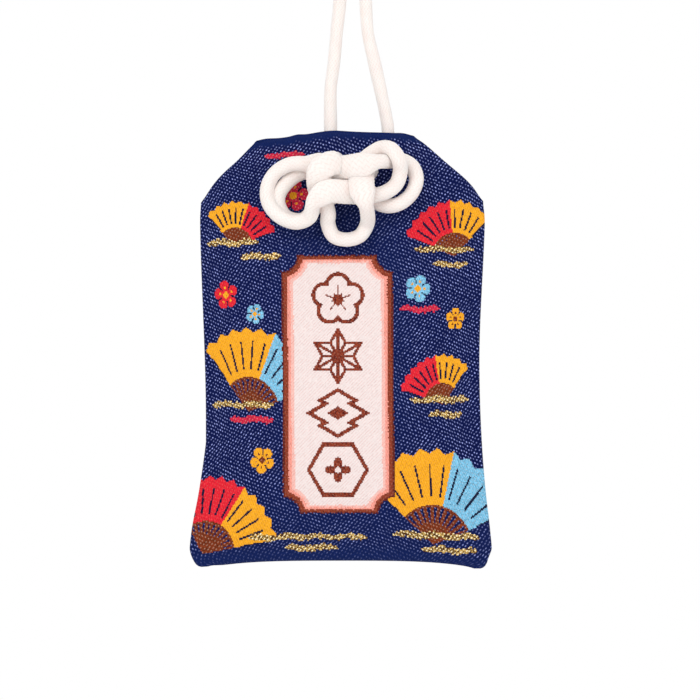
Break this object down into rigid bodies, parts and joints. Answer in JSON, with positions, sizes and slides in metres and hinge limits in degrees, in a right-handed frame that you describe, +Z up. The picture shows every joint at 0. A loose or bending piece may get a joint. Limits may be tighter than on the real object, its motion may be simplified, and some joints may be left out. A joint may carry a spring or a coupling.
{
  "type": "omamori charm",
  "caption": "Padded brocade pouch charm with a cartouche label, a flat ornamental cord knot at its mouth and a cord loop to hang it by.",
  "frame": {"origin": "underside of the top of the hanging loop, where a hook or finger carries it", "axes": "+Z up along the hanging charm, +Y towards its back, +X to the right seen from the front"},
  "size_m": [0.0504, 0.0154, 0.1267],
  "materials": {
    "brocade": "woven jacquard with gold thread",
    "thread": "matt sewing thread",
    "wadding": "soft fibre pad",
    "card": "raw card",
    "paper": "uncoated paper",
    "wood": "planed softwood",
    "cord": "round braided cord, slightly glossy"
  },
  "bodies": {
    "loop": {"hanging_loop": "cord"},
    "pouch": {"front_panel": "brocade", "back_panel": "brocade", "seam_thread": "thread", "wadding": "wadding", "stiffener_card": "card", "talisman_wrapper": "paper", "talisman_slip": "wood", "knot_cord": "cord"}
  },
  "joints": [
    {"name": "pouch_swing", "type": "hinge", "parent": "loop", "child": "pouch", "pos_m": [0, 0, -0.0504], "axis": [1, 0, 0], "range_deg": [-90, 90]}
  ]
}
